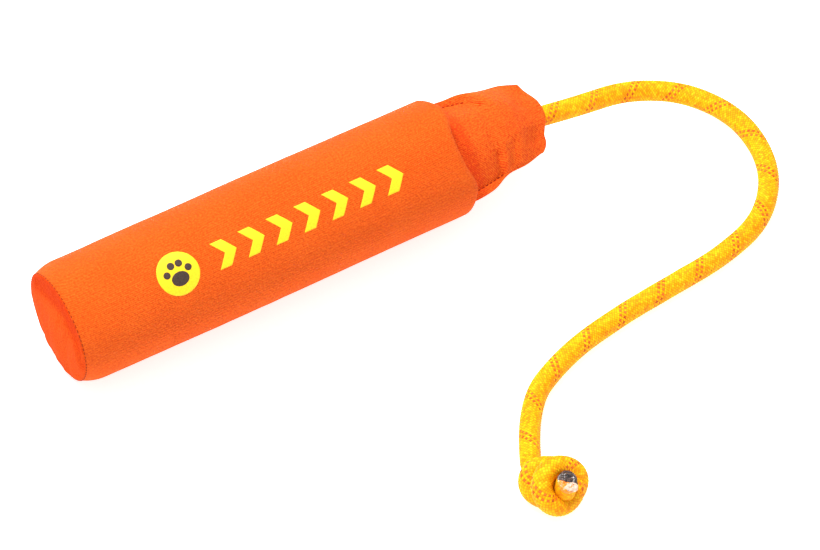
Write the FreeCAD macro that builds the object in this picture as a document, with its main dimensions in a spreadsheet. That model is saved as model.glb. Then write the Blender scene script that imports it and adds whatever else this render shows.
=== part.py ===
import FreeCAD, Part
import math
import os

# Floating training bumper: a foam-filled fabric roll with a sewn hood at its throat end, and a
# kernmantle throw rope that is knotted inside the hood and ends in a hand knot.
# Frame, in millimetres: +X along the roll from the closed end to the throat, +Z up, the roll lying
# on its side on z = 0, and the origin under the middle of the sewn bumper, rope not counted.

DIMS = {
    "body_dia": 58.0,        # outside diameter of the filled roll
    "body_len": 205.0,       # closed-end seam to throat shoulder
    "seam_x": -125.0,        # closed-end seam plane
    "flat_drop": 0.86,       # how far the roll's underside is pressed flat by its own weight
    "cover_thk": 0.9,        # cover cloth with its coating
    "cap_bulge": 5.5,        # closed-end panel beyond its seam
    "turn_in": 1.4,          # how far the seams pull the cloth in
    "shoulder_drop": 4.0,    # the roll's rounding at the throat shoulder
    "foam_gap": 0.1,         # air between foam and cover
    "hood_len": 50.5,
    "hood_tilt": 20.0,       # turn of the hood's flat plane about +X
    "hood_thk": 1.1,
    "hood_half_width": 21.5,
    "hood_half_height": 15.0,
    "mouth_half_width": 11.5,
    "mouth_half_height": 6.5,
    "flange_out": 3.9,       # sewn seam allowance that stands out of the hood's sides
    "flange_len": 18.0,
    "rope_dia": 10.0,
    "rope_core_dia": 7.3,
    "rope_fit": 0.05,        # between the rope's core and its sheath
    "pivot_out": 5.5,        # swing pivot in front of the hood's mouth
    "stitch_len": 1.7,
    "stitch_pitch": 2.35,
    "stitch_wide": 0.45,
    "stitch_thk": 0.3,
    "print_thk": 0.14,
    "print_turn": 35.0,      # print centre line, from the top towards -Y
    "badge_dia": 20.5,
    "badge_x": -71.0,
    "chevron_x": -52.0,
    "chevron_pitch": 14.5,
    "chevron_count": 7.0,
    "chevron_tall": 13.0,
    "chevron_bar": 6.0,
    "chevron_lean": 5.0,
    "knot_minor": 5.1,
    "tail_len": 10.0,
    "seal_thk": 1.0,
}

# Control points of the free rope's centre line, from the hood's mouth to the hand knot.
ROUTE = [
    (130.5, 0.0, 28.0),
    (150.0, 0.0, 24.0),
    (177.5, 1.2, 17.0),
    (203.5, -11.0, 12.0),
    (218.5, -36.0, 9.5),
    (216.5, -66.5, 7.0),
    (197.5, -90.2, 5.0),
    (168.0, -99.9, 5.0),
    (136.5, -103.0, 5.0),
    (105.2, -106.6, 5.0),
    (75.6, -113.2, 5.0),
    (45.0, -128.8, 5.0),
    (30.5, -158.0, 5.0),
]

V = FreeCAD.Vector
doc = FreeCAD.newDocument("training_bumper")
sheet = doc.addObject("Spreadsheet::Sheet", "Dims")
for row, (alias, value) in enumerate(DIMS.items(), start=1):
    sheet.set("A%d" % row, alias)
    sheet.set("B%d" % row, "%.6g" % value)
    sheet.setAlias("B%d" % row, alias)
doc.recompute()


def size(alias):
    return float(sheet.get(alias))


class Q:
    """A size that carries its expression on the sheet together with its value."""

    def __init__(self, text, value):
        self.text = text
        self.value = value

    def _mix(self, other, sign, value, swap=False):
        text = other.text if isinstance(other, Q) else "%.6g" % other
        a, b = (text, self.text) if swap else (self.text, text)
        return Q("(%s %s %s)" % (a, sign, b), value)

    def __add__(self, o):
        return self._mix(o, "+", self.value + val(o))

    def __sub__(self, o):
        return self._mix(o, "-", self.value - val(o))

    def __rsub__(self, o):
        return self._mix(o, "-", val(o) - self.value, True)

    def __mul__(self, o):
        return self._mix(o, "*", self.value * val(o))

    def __truediv__(self, o):
        return self._mix(o, "/", self.value / val(o))

    def __neg__(self):
        return Q("(0 - %s)" % self.text, -self.value)

    __radd__ = __add__
    __rmul__ = __mul__


def val(o):
    return o.value if isinstance(o, Q) else float(o)


def D(alias):
    return Q("Dims." + alias, size(alias))


def bind(obj, **props):
    for prop, q in props.items():
        prop = prop.replace("__", ".")
        if isinstance(q, Q):
            obj.setExpression(prop, q.text)
        else:
            setattr(obj, prop, q)


def place(obj, x=0.0, y=0.0, z=0.0, rot=None):
    obj.Placement = FreeCAD.Placement(V(val(x), val(y), val(z)), rot or FreeCAD.Rotation())
    for axis, q in (("x", x), ("y", y), ("z", z)):
        if isinstance(q, Q):
            obj.setExpression("Placement.Base.%s" % axis, q.text)


X_UP = FreeCAD.Rotation(V(0, 1, 0), 90)      # a primitive's own +Z laid along +X
axis_z = D("body_dia") / 2 - D("flat_drop")
shoulder_x = D("seam_x") + D("body_len")
mouth_x = shoulder_x + D("hood_len")
SUBPARTS = []


def keep(obj, name):
    obj.Label = name
    SUBPARTS.append((name, obj))
    return obj


def plane_of(body, role):
    for f in body.Origin.OriginFeatures:
        if f.Role == role:
            return f
    raise RuntimeError("no origin feature " + role)


def polygon(body, name, role, pts):
    """A closed profile whose every corner is held by two bound distances."""
    sk = body.newObject("Sketcher::SketchObject", name)
    sk.AttachmentSupport = [(plane_of(body, role), "")]
    sk.MapMode = "FlatFace"
    n = len(pts)
    xy = [V(val(a), val(b), 0) for a, b in pts]
    import Sketcher

    for i in range(n):
        sk.addGeometry(Part.LineSegment(xy[i], xy[(i + 1) % n]), False)
    for i in range(n):
        sk.addConstraint(Sketcher.Constraint("Coincident", i, 2, (i + 1) % n, 1))
    for i, (a, b) in enumerate(pts):
        for kind, q in (("DistanceX", a), ("DistanceY", b)):
            if abs(val(q)) < 1e-9:
                if kind == "DistanceX":
                    sk.addConstraint(Sketcher.Constraint("PointOnObject", i, 1, -2))
                else:
                    sk.addConstraint(Sketcher.Constraint("PointOnObject", i, 1, -1))
                continue
            k = sk.addConstraint(Sketcher.Constraint(kind, -1, 1, i, 1, val(q)))
            if isinstance(q, Q):
                sk.setExpression("Constraints[%d]" % k, q.text)
    return sk


def turned(name, pts):
    """A body of revolution about +X through the roll's axis, from (x, radius) corners."""
    body = doc.addObject("PartDesign::Body", name)
    sk = polygon(body, name + "_profile", "XZ_Plane", pts)
    rev = body.newObject("PartDesign::Revolution", name + "_turn")
    rev.Profile = sk
    rev.ReferenceAxis = (sk, ["H_Axis"])
    rev.Angle = 360.0
    sk.Visibility = False
    place(body, D("seam_x"), 0.0, axis_z)
    return body


def common(name, *objs):
    c = doc.addObject("Part::MultiCommon", name)
    c.Shapes = list(objs)
    return c


def cut(name, base, tool):
    c = doc.addObject("Part::Cut", name)
    c.Base, c.Tool = base, tool
    return c


def fuse(name, *objs):
    c = doc.addObject("Part::MultiFuse", name)
    c.Shapes = list(objs)
    return c


def above(name, z):
    """A block that keeps what lies above the height z, to press a round underside flat."""
    b = doc.addObject("Part::Box", name)
    bind(b, Length=D("body_len") + 40, Width=D("body_dia") + 20, Height=D("body_dia") + 20)
    place(b, D("seam_x") - 20, -(D("body_dia") / 2 + 10), z)
    return b


# ---------------------------------------------------------------- the filled roll
r = D("body_dia") / 2
L = D("body_len")
t = D("cover_thk")
ti = D("turn_in")
sd = D("shoulder_drop")

outer = turned("cover_outer", [
    (0.0, 0.0), (0.0, r - ti), (0.9, r - ti * 0.35), (3.0, r),
    (L - 6.5, r), (L - 3.6, r - sd * 0.12), (L - 1.4, r - sd * 0.45), (L, r - sd), (L, 0.0),
])
inner = turned("cover_inner", [
    (0.0, 0.0), (0.0, r - ti - t), (1.2, r - t - ti * 0.3), (3.2, r - t),
    (L - 7.0, r - t), (L - 4.2, r - t - sd * 0.12), (L - 2.0, r - t - sd * 0.45),
    (L, r - sd - t), (L, 0.0),
])
flat_outer = above("flat_outer", 0.0)
flat_inner = above("flat_inner", t)
cover = cut("cover_body_panel_cut", common("cover_outer_flat", outer, flat_outer),
            common("cover_inner_flat", inner, flat_inner))
keep(cover, "cover_body_panel")

g = D("foam_gap")
foam_raw = turned("foam_raw", [
    (1.2, 0.0), (1.2, r - t - 5.2), (3.2, r - t - 2.9), (7.0, r - t - 1.3), (12.0, r - t - g - 0.3),
    (L - 15.0, r - t - g - 0.3), (L - 11.0, r - t - sd * 0.25), (L - 8.0, r - t - sd * 0.8),
    (L - 6.0, r - t - sd - 3.0), (L - 6.0, 0.0),
])
foam = common("foam_core_flat", foam_raw, above("flat_foam", t + g))
keep(foam, "foam_core")

b = D("cap_bulge")
cap = turned("end_cap", [
    (-b, 0.0), (-b * 0.985, 4.0), (-b * 0.93, 9.0), (-b * 0.8, 14.0), (-b * 0.6, 19.0),
    (-b * 0.41, 22.6), (-b * 0.28, r - 3.9), (-b * 0.15, r - 2.1), (0.0, r - ti),
    (0.0, r - ti - t), (-b * 0.08, r - 3.1), (-b * 0.17, r - 5.0), (-b * 0.29, 21.6),
    (-b * 0.46, 18.2), (-b * 0.65, 13.4), (-b * 0.775, 8.6), (-b * 0.825, 3.9), (-b * 0.835, 0.0),
])
keep(cap, "end_cap_panel")

shoulder_disc = doc.addObject("Part::Cylinder", "shoulder_disc")
bind(shoulder_disc, Radius=r - sd - t - 0.05, Height=t)
place(shoulder_disc, shoulder_x - t, 0.0, axis_z, X_UP)
shoulder_hole = doc.addObject("Part::Cylinder", "shoulder_hole")
bind(shoulder_hole, Radius=D("hood_half_height") - 3.0, Height=t + 2)
place(shoulder_hole, shoulder_x - t - 1, 0.0, axis_z, X_UP)
keep(cut("shoulder_panel_cut", shoulder_disc, shoulder_hole), "shoulder_panel")


def blocks(name, frames, length, wide, thick):
    """A row of short thread stitches: one small block at each placement."""
    solids = []
    for pl in frames:
        s = Part.makeBox(length, wide, thick, V(-length / 2, -wide / 2, 0))
        s.Placement = pl
        solids.append(s)
    f = doc.addObject("Part::Feature", name)
    f.Shape = Part.makeCompound(solids)
    return f


def basis(x_dir, z_dir):
    x_dir = V(x_dir).normalize()
    z_dir = V(z_dir)
    z_dir = (z_dir - x_dir * z_dir.dot(x_dir)).normalize()
    y_dir = z_dir.cross(x_dir)
    m = FreeCAD.Matrix(x_dir.x, y_dir.x, z_dir.x, 0, x_dir.y, y_dir.y, z_dir.y, 0,
                       x_dir.z, y_dir.z, z_dir.z, 0, 0, 0, 0, 1)
    return FreeCAD.Rotation(m)


AZ = axis_z.value
R = size("body_dia") / 2
SEAM = size("seam_x")
SHO = shoulder_x.value
MOUTH = mouth_x.value
TI = size("turn_in")
SL, SP, SW, ST = (size(k) for k in ("stitch_len", "stitch_pitch", "stitch_wide", "stitch_thk"))

# closed-end seam: a ring of stitches down in the seam's valley
ring_r = R - TI + 0.06
count = int(round(2 * math.pi * ring_r / SP))
frames = []
for i in range(count):
    a = 2 * math.pi * (i + 0.5) / count
    rad = V(0, math.sin(a), math.cos(a))
    tan = V(0, math.cos(a), -math.sin(a))
    frames.append(FreeCAD.Placement(V(SEAM, 0, AZ) + rad * ring_r, basis(tan, rad)))
keep(blocks("end_cap_stitch_row", frames, SL, SW, ST), "end_cap_stitches")

# lengthwise seam of the cover, low at the back
frames = []
a = math.radians(145.0)
rad = V(0, math.sin(a), math.cos(a))
n_long = int((size("body_len") - 20) / 3.2)
for i in range(n_long):
    frames.append(FreeCAD.Placement(V(SEAM + 8 + 3.2 * (i + 0.5), 0, AZ) + rad * (R + 0.02), basis(V(1, 0, 0), rad)))
keep(blocks("cover_seam_stitch_row", frames, 2.4, SW, 0.2), "cover_seam_stitches")

# ---------------------------------------------------------------- the hood
TILT = math.radians(size("hood_tilt"))
WID = V(0, math.cos(TILT), math.sin(TILT))      # across the hood's flat plane
NRM = V(0, -math.sin(TILT), math.cos(TILT))     # out of its upper ply
HOOD_ROT = basis(WID, V(1, 0, 0))               # ellipse: major along WID, normal along +X
hw, hh = D("hood_half_width"), D("hood_half_height")
mw, mh = D("mouth_half_width"), D("mouth_half_height")
STATIONS = [
    (0.0, hw, hh), (0.22, hw, hh * 0.97), (0.48, hw * 0.95, hh * 0.92), (0.72, hw * 0.9, hh * 0.8),
    (0.88, hw * 0.82, hh * 0.62), (1.0, mw, mh),
]


def hood_loft(name, shrink, extra):
    secs = []
    for i, (f, aq, bq) in enumerate(STATIONS):
        e = doc.addObject("Part::Ellipse", "%s_section_%d" % (name, i))
        e.MajorRadius = 100.0
        bind(e, MinorRadius=bq - shrink, MajorRadius=aq - shrink)
        x = shoulder_x + D("hood_len") * f
        if i == 0:
            x = x + (0.02 - extra)
        if i == len(STATIONS) - 1:
            x = x + extra
        place(e, x, 0.0, axis_z, HOOD_ROT)
        secs.append(e)
    loft = doc.addObject("Part::Loft", name)
    loft.Sections = secs
    loft.Solid = True
    loft.Ruled = False
    return loft


hood_shell = cut("hood_shell", hood_loft("hood_outer", 0.0, 0.0), hood_loft("hood_inner", D("hood_thk"), 0.6))


def ply(name, side):
    """Half of the hood's shell, with its seam allowance along both sides near the shoulder."""
    half = doc.addObject("Part::Box", name + "_half")
    bind(half, Length=D("hood_len") + 10, Width=hw * 2 + 20, Height=hh + 10)
    rot = FreeCAD.Rotation(V(1, 0, 0), size("hood_tilt"))
    corner = V(0, 0, 0) - WID * (hw.value + 10) + NRM * (0.02 if side > 0 else -0.02 - hh.value - 10)
    place(half, shoulder_x - 5, corner.y, axis_z + corner.z, rot)
    pieces = [common(name + "_shell", hood_shell, half)]
    for k, s in (("a", 1), ("b", -1)):
        fl = doc.addObject("Part::Box", "%s_flange_%s" % (name, k))
        bind(fl, Length=D("flange_len"), Width=D("flange_out") + D("hood_thk"), Height=D("cover_thk"))
        w0 = (hw.value - size("hood_thk")) if s > 0 else -(hw.value + size("flange_out"))
        n0 = 0.02 if side > 0 else -0.02 - size("cover_thk")
        corner = WID * w0 + NRM * n0
        place(fl, shoulder_x + 0.3, corner.y, axis_z + corner.z, rot)
        pieces.append(fl)
    return fuse(name + "_ply", *pieces)


keep(ply("hood_upper", 1), "hood_upper_panel")
keep(ply("hood_lower", -1), "hood_lower_panel")

for label, s in (("hood_side_stitches_back", 1), ("hood_side_stitches_front", -1)):
    frames = []
    for i in range(8):
        p = V(SHO + 1.4 + SP * (i + 0.5), 0, AZ) + WID * (s * (size("hood_half_width") + 0.9)) + NRM * (0.03 + size("cover_thk"))
        frames.append(FreeCAD.Placement(p, basis(V(1, 0, 0), NRM)))
    keep(blocks(label + "_row", frames, SL, SW, ST), label)

# the seam that joins the hood to the shoulder panel
frames = []
for i in range(54):
    a = 2 * math.pi * i / 54
    ea, eb = size("hood_half_width") + 0.9, size("hood_half_height") + 0.9
    if abs(math.cos(a)) > 0.975:
        continue                       # the flanges cover the seam here
    p = V(SHO + 0.02, 0, AZ) + WID * (ea * math.cos(a)) + NRM * (eb * math.sin(a))
    tan = WID * (-ea * math.sin(a)) + NRM * (eb * math.cos(a))
    frames.append(FreeCAD.Placement(p, basis(tan, V(1, 0, 0))))
keep(blocks("hood_base_stitch_row", frames, SL, SW, ST), "hood_base_stitches")

# ---------------------------------------------------------------- rope inside the hood
rr = D("rope_dia") / 2
k1 = doc.addObject("Part::Torus", "anchor_ring_a")
bind(k1, Radius1=D("rope_dia") * 0.74, Radius2=rr)
place(k1, shoulder_x + 17.0, 0.0, axis_z, X_UP)
k2 = doc.addObject("Part::Torus", "anchor_ring_b")
bind(k2, Radius1=D("rope_dia") * 0.58, Radius2=rr)
place(k2, shoulder_x + 23.5, 0.0, axis_z, X_UP)
k3 = doc.addObject("Part::Cylinder", "anchor_heart")
bind(k3, Radius=D("rope_dia") * 0.58, Height=16.2)
place(k3, shoulder_x + 12.15, 0.0, axis_z, X_UP)
keep(fuse("anchor_knot_fuse", k1, k2, k3), "anchor_knot")

tail = doc.addObject("Part::Cylinder", "anchor_tail_raw")
bind(tail, Radius=rr - 0.1, Height=9.0)
place(tail, shoulder_x + 2.6, 0.0, axis_z, X_UP)
keep(tail, "anchor_tail")

stub = doc.addObject("Part::Cylinder", "anchor_stub_raw")
bind(stub, Radius=rr - 0.1, Height=D("hood_len") - 32.0)
place(stub, shoulder_x + 31.5, 0.0, axis_z, X_UP)
keep(stub, "anchor_rope_stub")

# ---------------------------------------------------------------- printed marks
def film(name, low, high):
    o = doc.addObject("Part::Cylinder", name + "_out")
    bind(o, Radius=r + high, Height=L - 40.0)
    place(o, D("seam_x") + 20.0, 0.0, axis_z, X_UP)
    i = doc.addObject("Part::Cylinder", name + "_in")
    bind(i, Radius=r + low, Height=L - 36.0)
    place(i, D("seam_x") + 18.0, 0.0, axis_z, X_UP)
    return cut(name, o, i)


TURN = FreeCAD.Rotation(V(1, 0, 0), size("print_turn"))
film_low = film("film_low", 0.02, D("print_thk") + 0.02)
film_high = film("film_high", D("print_thk") + 0.04, D("print_thk") * 2 + 0.04)


def stamp(name, pts, count=None, pitch=None, x=0.0):
    body = doc.addObject("PartDesign::Body", name)
    if hasattr(body, "AllowCompound"):
        body.AllowCompound = True
    sk = polygon(body, name + "_outline", "XY_Plane", pts)
    pad = body.newObject("PartDesign::Pad", name + "_pad")
    pad.Profile = sk
    pad.setExpression("Length", (r + 6).text)
    sk.Visibility = False
    if count is not None:
        doc.recompute()
        pat = body.newObject("PartDesign::LinearPattern", name + "_row")
        pat.Originals = [pad]
        pat.Direction = (sk, ["H_Axis"])
        pat.setExpression("Length", (pitch * (count.value - 1)).text)
        pat.Occurrences = int(count.value)
        body.Tip = pat
    place(body, x, 0.0, axis_z, TURN)
    return body


tall, bar, lean = D("chevron_tall"), D("chevron_bar"), D("chevron_lean")
chev = stamp("chevron_stamp", [
    (0.0, -tall / 2), (bar, -tall / 2), (bar + lean, 0.0), (bar, tall / 2), (0.0, tall / 2), (lean, 0.0),
], D("chevron_count"), D("chevron_pitch"), D("chevron_x"))
keep(common("print_chevrons_common", film_low, chev), "print_chevrons")

disc = doc.addObject("Part::Cylinder", "badge_disc")
bind(disc, Radius=D("badge_dia") / 2, Height=r + 6)
place(disc, D("badge_x"), 0.0, axis_z, TURN)
keep(common("print_badge_common", film_low, disc), "print_badge_field")


def paw_pad(name, dx, dy, rad_a, rad_b):
    e = doc.addObject("Part::Ellipse", name + "_e")
    e.MajorRadius = 50.0
    e.MinorRadius = rad_b
    e.MajorRadius = rad_a
    ex = doc.addObject("Part::Extrusion", name)
    ex.Base = e
    ex.Dir = V(0, 0, 1)
    ex.LengthFwd = R + 6
    ex.setExpression("LengthFwd", (r + 6).text)
    ex.Solid = True
    off = TURN.multVec(V(dx, dy, 0))
    place(ex, D("badge_x") + off.x, off.y, axis_z + off.z, TURN)
    return ex


paw = fuse("paw_stamp",
           paw_pad("paw_heel", 0.0, -2.6, 4.3, 3.3),
           paw_pad("paw_toe_a", -5.4, 1.0, 1.7, 1.65),
           paw_pad("paw_toe_b", -2.0, 4.3, 1.75, 1.7),
           paw_pad("paw_toe_c", 2.0, 4.3, 1.75, 1.7),
           paw_pad("paw_toe_d", 5.4, 1.0, 1.7, 1.65))
keep(common("print_paw_common", film_high, paw), "print_badge_paw")

# ---------------------------------------------------------------- the free throw rope
pivot_x = MOUTH + size("pivot_out")
p0, p1 = V(*ROUTE[0]), V(*ROUTE[1])
start = p0 + (p1 - p0) * ((pivot_x - p0.x) / (p1.x - p0.x))
pts = [start] + [V(*p) for p in ROUTE[1:]]


def rounded_path(points):
    edges, radii, length = [], [], 0.0
    here = points[0]
    for i in range(1, len(points) - 1):
        a, c, d = points[i - 1], points[i], points[i + 1]
        u, w = (c - a), (d - c)
        lu, lw = u.Length, w.Length
        u, w = u / lu, w / lw
        turn = u.getAngle(w)
        cutb = 0.45 * min(lu, lw)
        rad = cutb / math.tan(turn / 2)
        s, e = c - u * cutb, c + w * cutb
        mid_dir = (w - u).normalize()
        mid = c + mid_dir * (rad / math.cos(turn / 2) - rad)
        edges.append(Part.LineSegment(here, s).toShape())
        edges.append(Part.Arc(s, mid, e).toShape())
        length += (s - here).Length + rad * turn
        radii.append(rad)
        here = e
    edges.append(Part.LineSegment(here, points[-1]).toShape())
    length += (points[-1] - here).Length
    return Part.Wire(edges), radii, length


def tube(points, radius):
    path, radii, length = rounded_path(points)
    d = (points[1] - points[0]).normalize()
    ring = Part.Wire([Part.Circle(points[0], d, radius).toShape()])
    solid = path.makePipeShell([ring], True, True)
    want = math.pi * radius * radius * length
    if abs(solid.Volume / want - 1) > 0.01 or not solid.isValid():
        raise RuntimeError("rope sweep volume %.1f, expected %.1f" % (solid.Volume, want))
    return solid, radii, length


RR = size("rope_dia") / 2
CR = size("rope_core_dia") / 2
full, radii, rope_len = tube(pts, RR)
bore, _, _ = tube(pts, CR + size("rope_fit"))
core, _, _ = tube(pts, CR)
nose = Part.makeSphere(RR, start)
head = nose.cut(Part.makeCylinder(RR + 1, RR + 1, start, (pts[1] - pts[0]).normalize()))
sheath = full.cut(bore).fuse(head)
f = doc.addObject("Part::Feature", "rope_sheath_sweep")
f.Shape = sheath
keep(f, "rope_sheath")
f = doc.addObject("Part::Feature", "rope_core_sweep")
f.Shape = core
keep(f, "rope_core")

# ---------------------------------------------------------------- hand knot at the rope's free end
def turn_to(z_dir):
    return FreeCAD.Rotation(V(0, 0, 1), z_dir)


kr = D("knot_minor")
FACE = V(0.27, -0.73, 0.62).normalize()     # the way the front turn opens
front = doc.addObject("Part::Torus", "knot_front_turn")
bind(front, Radius1=kr * 1.8, Radius2=kr)
front_c = V(32.0, -180.8, 13.6)
place(front, front_c.x, front_c.y, front_c.z, turn_to(FACE))
rear = doc.addObject("Part::Torus", "knot_rear_turn")
bind(rear, Radius1=kr * 1.1, Radius2=kr)
place(rear, 26.2, -168.2, 9.0, turn_to(V(-0.45, -0.35, 0.82)))
heart = doc.addObject("Part::Sphere", "knot_heart")
bind(heart, Radius=kr * 1.75)
place(heart, 29.0, -175.4, kr * 1.75)
knot = fuse("hand_knot_fuse", front, rear, heart)
keep(knot, "hand_knot")

tail_dir = V(0.12, -0.54, 0.83).normalize()
tl = doc.addObject("Part::Cylinder", "hand_tail_raw")
bind(tl, Radius=rr - 0.2, Height=D("tail_len"))
b0 = front_c + tail_dir * (9.2 - size("tail_len"))
place(tl, b0.x, b0.y, b0.z, turn_to(tail_dir))
knot_tail = cut("hand_tail_cut", tl, knot)
keep(knot_tail, "hand_knot_tail")
tip = b0 + tail_dir * size("tail_len")
sl = doc.addObject("Part::Cylinder", "hand_seal_raw")
bind(sl, Radius=rr - 0.25, Height=D("seal_thk"))
s0 = tip + tail_dir * 0.02
place(sl, s0.x, s0.y, s0.z, turn_to(tail_dir))
keep(sl, "hand_end_seal")
ec = doc.addObject("Part::Cylinder", "hand_core_raw")
bind(ec, Radius=D("rope_core_dia") / 2 - 0.4, Height=0.5)
c0 = tip + tail_dir * (0.04 + size("seal_thk"))
place(ec, c0.x, c0.y, c0.z, turn_to(tail_dir))
keep(ec, "hand_end_core")

# ---------------------------------------------------------------- checks and export
doc.recompute()
bad = []
for o in doc.Objects:
    if any(w in ("Invalid", "Error") for w in o.State):
        bad.append("%s is %s" % (o.Name, o.State))
for name, o in SUBPARTS:
    if o.Shape.isNull() or not o.Shape.isValid() or o.Shape.Volume <= 0 or not o.Shape.Solids:
        bad.append("%s has no valid solid" % name)
if bad:
    raise RuntimeError("; ".join(bad))

os.makedirs("parts", exist_ok=True)
for name, o in SUBPARTS:
    o.Shape.exportStep(os.path.join("parts", name + ".step"))
    bb = o.Shape.BoundBox
    print("%-26s solids %3d  volume %10.1f  x %7.2f %7.2f  y %7.2f %7.2f  z %6.2f %6.2f" % (
        name, len(o.Shape.Solids), o.Shape.Volume, bb.XMin, bb.XMax, bb.YMin, bb.YMax, bb.ZMin, bb.ZMax))
print("rope tube length %.1f, radii %s" % (rope_len, ", ".join("%.1f" % q for q in radii)))
print("chevrons expected %d, got %d" % (int(size("chevron_count")), len([o for n, o in SUBPARTS if n == "print_chevrons"][0].Shape.Solids)))
print("pivot %.2f 0 %.2f" % (start.x, start.z))
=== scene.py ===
import bpy
import math
import numpy as np
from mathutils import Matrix, Quaternion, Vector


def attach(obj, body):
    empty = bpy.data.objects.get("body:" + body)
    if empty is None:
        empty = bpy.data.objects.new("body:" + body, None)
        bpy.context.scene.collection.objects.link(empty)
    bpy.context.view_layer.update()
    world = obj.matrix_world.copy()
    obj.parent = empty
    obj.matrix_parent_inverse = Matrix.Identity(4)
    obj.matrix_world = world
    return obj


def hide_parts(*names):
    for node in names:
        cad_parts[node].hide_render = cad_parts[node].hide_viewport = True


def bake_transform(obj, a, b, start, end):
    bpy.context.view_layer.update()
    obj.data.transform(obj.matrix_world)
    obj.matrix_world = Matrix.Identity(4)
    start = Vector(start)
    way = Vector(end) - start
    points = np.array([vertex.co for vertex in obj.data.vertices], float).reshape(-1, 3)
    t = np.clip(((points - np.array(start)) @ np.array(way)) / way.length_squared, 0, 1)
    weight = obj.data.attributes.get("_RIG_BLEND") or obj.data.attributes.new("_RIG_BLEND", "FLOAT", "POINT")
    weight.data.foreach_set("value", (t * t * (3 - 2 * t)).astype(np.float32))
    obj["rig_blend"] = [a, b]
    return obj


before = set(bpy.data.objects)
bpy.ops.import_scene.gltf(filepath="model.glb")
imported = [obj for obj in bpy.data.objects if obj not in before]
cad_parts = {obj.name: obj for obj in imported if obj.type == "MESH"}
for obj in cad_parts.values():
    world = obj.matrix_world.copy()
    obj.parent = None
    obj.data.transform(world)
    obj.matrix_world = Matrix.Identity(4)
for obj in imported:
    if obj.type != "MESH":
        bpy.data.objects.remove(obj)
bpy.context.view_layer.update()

scene = bpy.context.scene
scene.view_settings.view_transform = "Standard"
scene.view_settings.look = "None"

# ------------------------------------------------------------------ camera
cam_data = bpy.data.cameras.new("main_camera")
cam_data.lens = 239.61
cam_data.sensor_width = 36.0
cam_data.clip_end = 60.0
cam = bpy.data.objects.new("main_camera", cam_data)
scene.collection.objects.link(cam)
cam.location = (-0.754379, -1.397855, 1.971076)
cam.rotation_euler = (Vector((0.314501, 0.540221, -0.780544)).to_track_quat("-Z", "Y") @ Quaternion((0, 0, 1), 0.00325)).to_euler()
scene.camera = cam

# ------------------------------------------------------------------ sizes, in millimetres
R, AZ, SEAM, SHO, MOUTH = 29.0, 28.14, -124.7, 80.0, 130.5
TILT = math.radians(20.0)
WID = np.array([0.0, math.cos(TILT), math.sin(TILT)])
NRM = np.array([0.0, -math.sin(TILT), math.cos(TILT)])
FACE_PHI = math.radians(-34.7)
BODY, ROPE = "bumper", "throw_rope"


# ------------------------------------------------------------------ small maths
def curve(xs, ys, q):
    """Smooth line through points, for profiles."""
    xs, ys, q = np.asarray(xs, float), np.asarray(ys, float), np.asarray(q, float)
    m = np.gradient(ys, xs)
    i = np.clip(np.searchsorted(xs, q) - 1, 0, len(xs) - 2)
    h = xs[i + 1] - xs[i]
    t = np.clip((q - xs[i]) / h, 0, 1)
    t2, t3 = t * t, t * t * t
    return ((2 * t3 - 3 * t2 + 1) * ys[i] + (t3 - 2 * t2 + t) * h * m[i]
            + (-2 * t3 + 3 * t2) * ys[i + 1] + (t3 - t2) * h * m[i + 1])


def sm(a, b, x):
    t = np.clip((x - a) / (b - a), 0, 1)
    return t * t * (3 - 2 * t)


def lattice(seed, n=64):
    return np.random.RandomState(seed).uniform(-1, 1, (n, n))


def noise(u, v, seed, wrap_v=None):
    """Smooth value noise on a seeded lattice; v wraps after wrap_v cells."""
    g = lattice(seed)
    u, v = np.broadcast_arrays(np.asarray(u, float), np.asarray(v, float))
    iu, iv = np.floor(u).astype(int), np.floor(v).astype(int)
    fu, fv = u - iu, v - iv
    fu, fv = fu * fu * (3 - 2 * fu), fv * fv * (3 - 2 * fv)
    w = wrap_v or 64
    a, b = iu % 64, (iu + 1) % 64
    c, d = iv % w, (iv + 1) % w
    return (g[a, c] * (1 - fu) * (1 - fv) + g[b, c] * fu * (1 - fv)
            + g[a, d] * (1 - fu) * fv + g[b, d] * fu * fv)


def unit(v):
    return v / np.maximum(np.linalg.norm(v, axis=-1, keepdims=True), 1e-12)


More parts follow.
